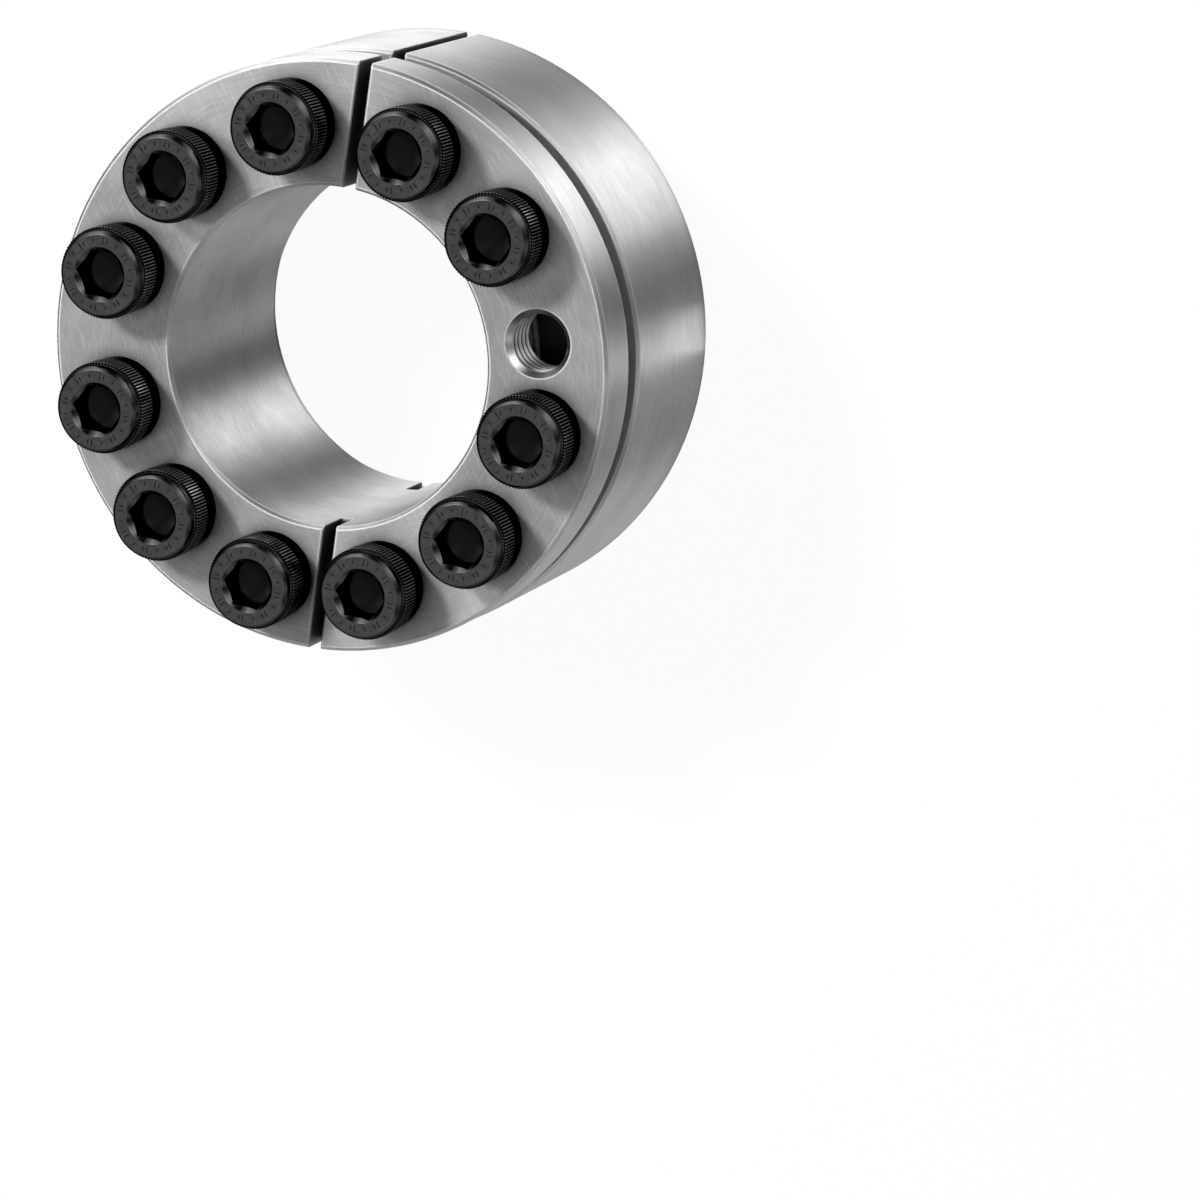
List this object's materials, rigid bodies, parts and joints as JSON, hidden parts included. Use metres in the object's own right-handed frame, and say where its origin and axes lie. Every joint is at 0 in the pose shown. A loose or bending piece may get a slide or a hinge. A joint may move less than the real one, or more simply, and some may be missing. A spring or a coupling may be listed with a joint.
{
  "type": "shaft locking element",
  "caption": "Keyless taper locking element: slit flanged inner ring, slit outer ring and axial socket head screws that draw them together to clamp a hub on a shaft.",
  "frame": {"origin": "on the shaft axis, in the plane of the outer ring's rear face", "axes": "+Z along the shaft axis, out of the flange towards the screw heads; +Y towards the through slit"},
  "size_m": [0.105, 0.105, 0.06],
  "materials": {
    "turned_steel": "fine turned, concentric lines on the face",
    "turned_steel_outer": "fine turned",
    "black_oxide_steel": "black oxide, lightly oiled"
  },
  "bodies": {
    "inner_ring": {"inner_ring": "turned_steel"},
    "outer_ring": {"outer_ring": "turned_steel_outer"},
    "screw_01": {"clamp_screw_01": "black_oxide_steel"},
    "screw_02": {"clamp_screw_02": "black_oxide_steel"},
    "screw_03": {"clamp_screw_03": "black_oxide_steel"},
    "screw_04": {"clamp_screw_04": "black_oxide_steel"},
    "screw_05": {"clamp_screw_05": "black_oxide_steel"},
    "screw_06": {"clamp_screw_06": "black_oxide_steel"},
    "screw_07": {"clamp_screw_07": "black_oxide_steel"},
    "screw_08": {"clamp_screw_08": "black_oxide_steel"},
    "screw_09": {"clamp_screw_09": "black_oxide_steel"},
    "screw_10": {"clamp_screw_10": "black_oxide_steel"},
    "screw_11": {"clamp_screw_11": "black_oxide_steel"}
  },
  "joints": [
    {"name": "outer_ring_draw", "type": "slide", "parent": "inner_ring", "child": "outer_ring", "axis": [0, 0, 1], "range_m": [0, 0.002]},
    {"name": "screw_01_turn", "type": "hinge", "parent": "inner_ring", "child": "screw_01", "pos_m": [-0.01182, 0.03926, 0.05], "axis": [0, 0, 1], "range_deg": [-480.5, 0]},
    {"name": "screw_02_turn", "type": "hinge", "parent": "inner_ring", "child": "screw_02", "pos_m": [-0.03083, 0.02703, 0.05], "axis": [0, 0, 1], "range_deg": [-480.5, 0]},
    {"name": "screw_03_turn", "type": "hinge", "parent": "inner_ring", "child": "screw_03", "pos_m": [-0.04021, 0.008, 0.05], "axis": [0, 0, 1], "range_deg": [-480.5, 0]},
    {"name": "screw_04_turn", "type": "hinge", "parent": "inner_ring", "child": "screw_04", "pos_m": [-0.03781, -0.01586, 0.05], "axis": [0, 0, 1], "range_deg": [-480.5, 0]},
    {"name": "screw_05_turn", "type": "hinge", "parent": "inner_ring", "child": "screw_05", "pos_m": [-0.02482, -0.03264, 0.05], "axis": [0, 0, 1], "range_deg": [-480.5, 0]},
    {"name": "screw_06_turn", "type": "hinge", "parent": "inner_ring", "child": "screw_06", "pos_m": [-0.00517, -0.04067, 0.05], "axis": [0, 0, 1], "range_deg": [-480.5, 0]},
    {"name": "screw_07_turn", "type": "hinge", "parent": "inner_ring", "child": "screw_07", "pos_m": [0.01586, -0.03781, 0.05], "axis": [0, 0, 1], "range_deg": [-480.5, 0]},
    {"name": "screw_08_turn", "type": "hinge", "parent": "inner_ring", "child": "screw_08", "pos_m": [0.03264, -0.02482, 0.05], "axis": [0, 0, 1], "range_deg": [-480.5, 0]},
    {"name": "screw_09_turn", "type": "hinge", "parent": "inner_ring", "child": "screw_09", "pos_m": [0.04067, -0.00517, 0.05], "axis": [0, 0, 1], "range_deg": [-480.5, 0]},
    {"name": "screw_10_turn", "type": "hinge", "parent": "inner_ring", "child": "screw_10", "pos_m": [0.02986, 0.02809, 0.05], "axis": [0, 0, 1], "range_deg": [-480.5, 0]},
    {"name": "screw_11_turn", "type": "hinge", "parent": "inner_ring", "child": "screw_11", "pos_m": [0.01182, 0.03926, 0.05], "axis": [0, 0, 1], "range_deg": [-480.5, 0]}
  ],
  "couplings": [
    {"joint": "screw_01_turn", "follows": "outer_ring_draw", "rad_per_m": -4188.8},
    {"joint": "screw_02_turn", "follows": "outer_ring_draw", "rad_per_m": -4188.8},
    {"joint": "screw_03_turn", "follows": "outer_ring_draw", "rad_per_m": -4188.8},
    {"joint": "screw_04_turn", "follows": "outer_ring_draw", "rad_per_m": -4188.8},
    {"joint": "screw_05_turn", "follows": "outer_ring_draw", "rad_per_m": -4188.8},
    {"joint": "screw_06_turn", "follows": "outer_ring_draw", "rad_per_m": -4188.8},
    {"joint": "screw_07_turn", "follows": "outer_ring_draw", "rad_per_m": -4188.8},
    {"joint": "screw_08_turn", "follows": "outer_ring_draw", "rad_per_m": -4188.8},
    {"joint": "screw_09_turn", "follows": "outer_ring_draw", "rad_per_m": -4188.8},
    {"joint": "screw_10_turn", "follows": "outer_ring_draw", "rad_per_m": -4188.8},
    {"joint": "screw_11_turn", "follows": "outer_ring_draw", "rad_per_m": -4188.8}
  ]
}
